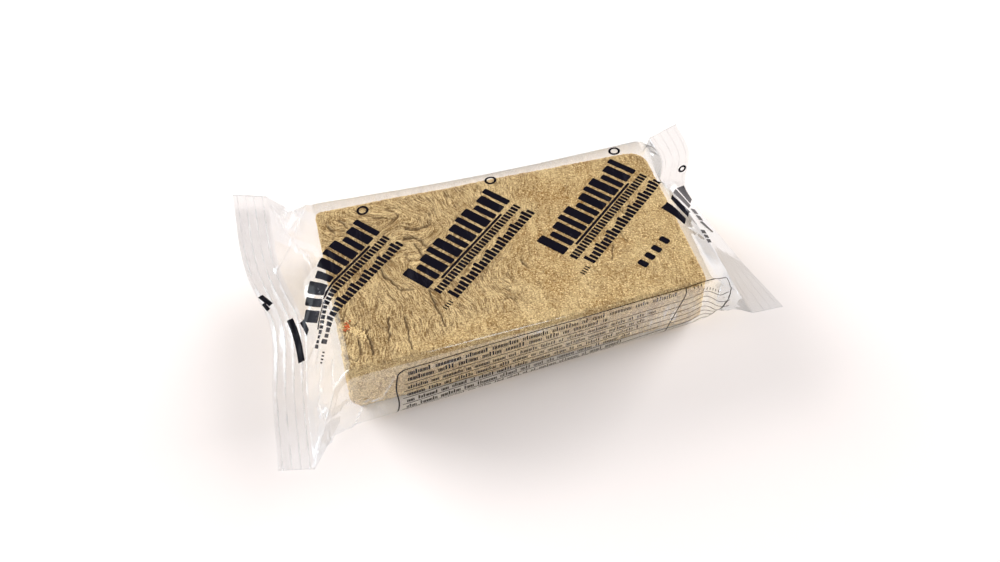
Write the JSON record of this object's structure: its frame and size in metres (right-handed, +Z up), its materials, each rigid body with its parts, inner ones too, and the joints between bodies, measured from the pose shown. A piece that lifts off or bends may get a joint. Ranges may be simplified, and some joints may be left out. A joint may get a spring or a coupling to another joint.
{
  "type": "sunflower halva block in a clear flow pack",
  "caption": "Pressed tan halva block sealed in a clear film flow pack with crimped end seals and plain black bar print.",
  "frame": {"origin": "middle of the block's underside, on the surface that the pack rests on", "axes": "+X along the pack from the left seal to the right seal, +Y from the front to the back fold, +Z up"},
  "size_m": [0.2179, 0.1212, 0.0375],
  "materials": {
    "film": "clear thin packaging film, glossy, with pale creases and crimped seals",
    "halva": "pressed halva: fibrous, cracked and grainy, tan with paler grains",
    "print": "black printing ink on film"
  },
  "bodies": {
    "root": {"halva_pack": "film"}
  },
  "joints": []
}
